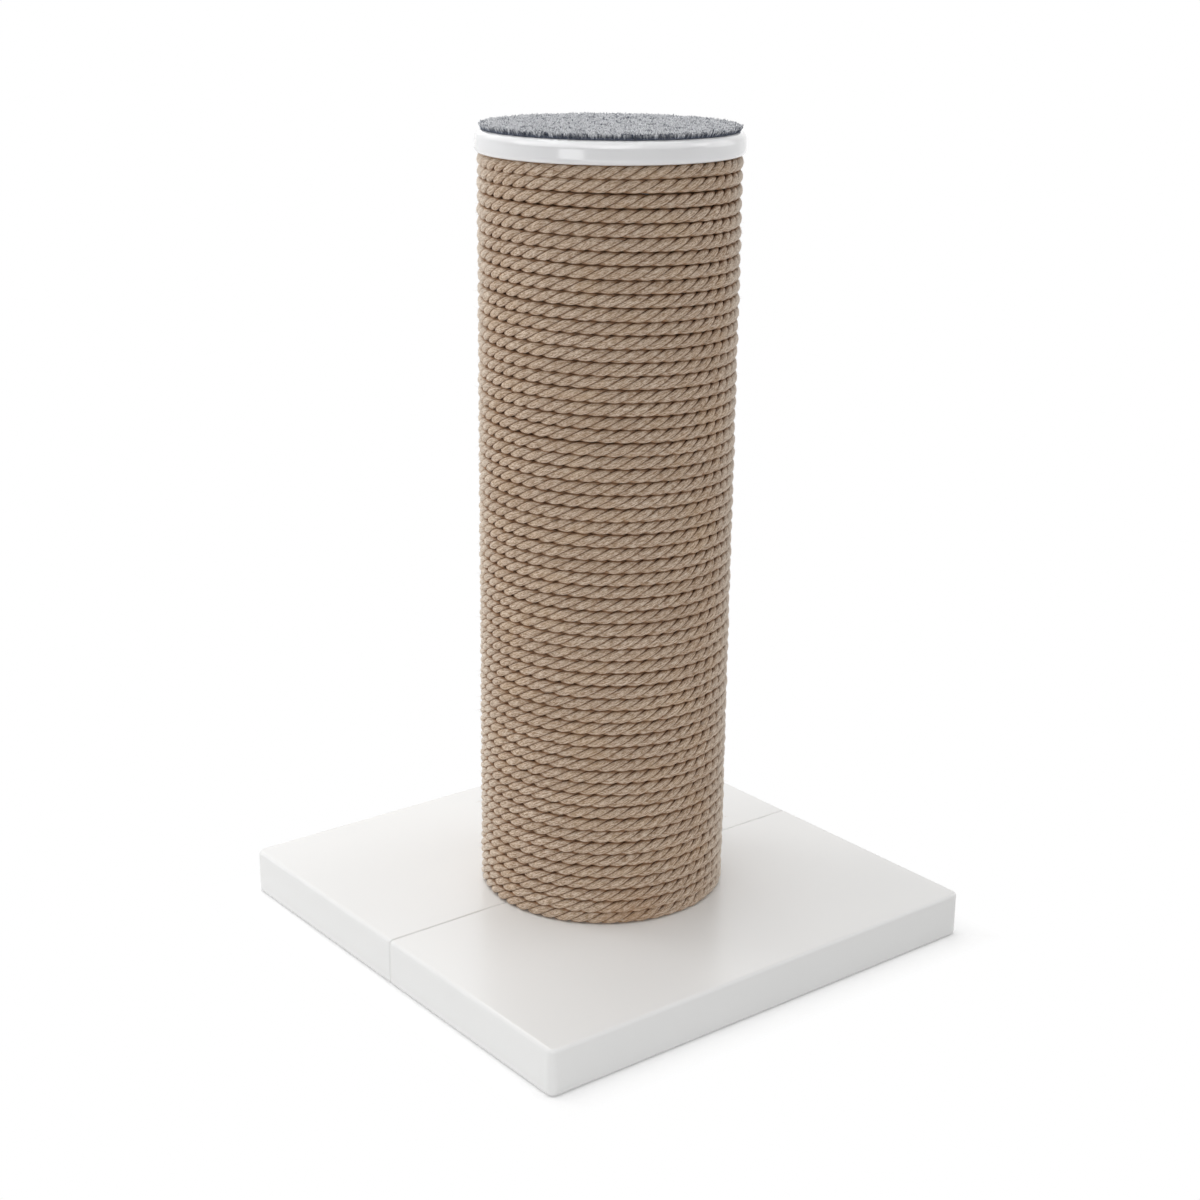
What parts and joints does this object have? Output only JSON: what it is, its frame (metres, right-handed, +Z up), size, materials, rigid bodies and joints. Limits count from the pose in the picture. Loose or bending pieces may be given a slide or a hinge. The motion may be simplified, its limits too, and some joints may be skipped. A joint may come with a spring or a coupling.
{
  "type": "cat scratching post with perch",
  "caption": "Free-standing cat scratching post: a rope-wound tube on a square two-board painted base, with a round carpeted perch disc on top.",
  "frame": {"origin": "on the floor under the middle of the post, at the centre of the square base", "axes": "+Z up along the post, +X along the two base boards, +Y across them from the front board to the rear one"},
  "size_m": [0.402, 0.402, 0.6226],
  "materials": {
    "white_paint": "satin white paint on solid board",
    "gloss_paint": "gloss white paint on board",
    "beech": "bare beech",
    "plywood": "bare plywood",
    "paperboard": "spirally wound brown paperboard",
    "rope": "twisted three-strand natural fibre rope",
    "carpet": "slate grey cut pile",
    "felt": "thin dark anti-slip pad",
    "zinc": "zinc plated steel"
  },
  "bodies": {
    "root": {"base_board_front": "white_paint", "base_board_rear": "white_paint", "perch_disc": "gloss_paint", "base_dowels": "beech", "lower_plug": "plywood", "upper_plug": "plywood", "post_tube": "paperboard", "rope_lower": "rope", "rope_middle": "rope", "rope_upper": "rope", "carpet_pad": "carpet", "floor_pads": "felt", "base_screws": "zinc", "disc_screws": "zinc", "lower_plug_screws": "zinc", "upper_plug_screws": "zinc"}
  },
  "joints": []
}
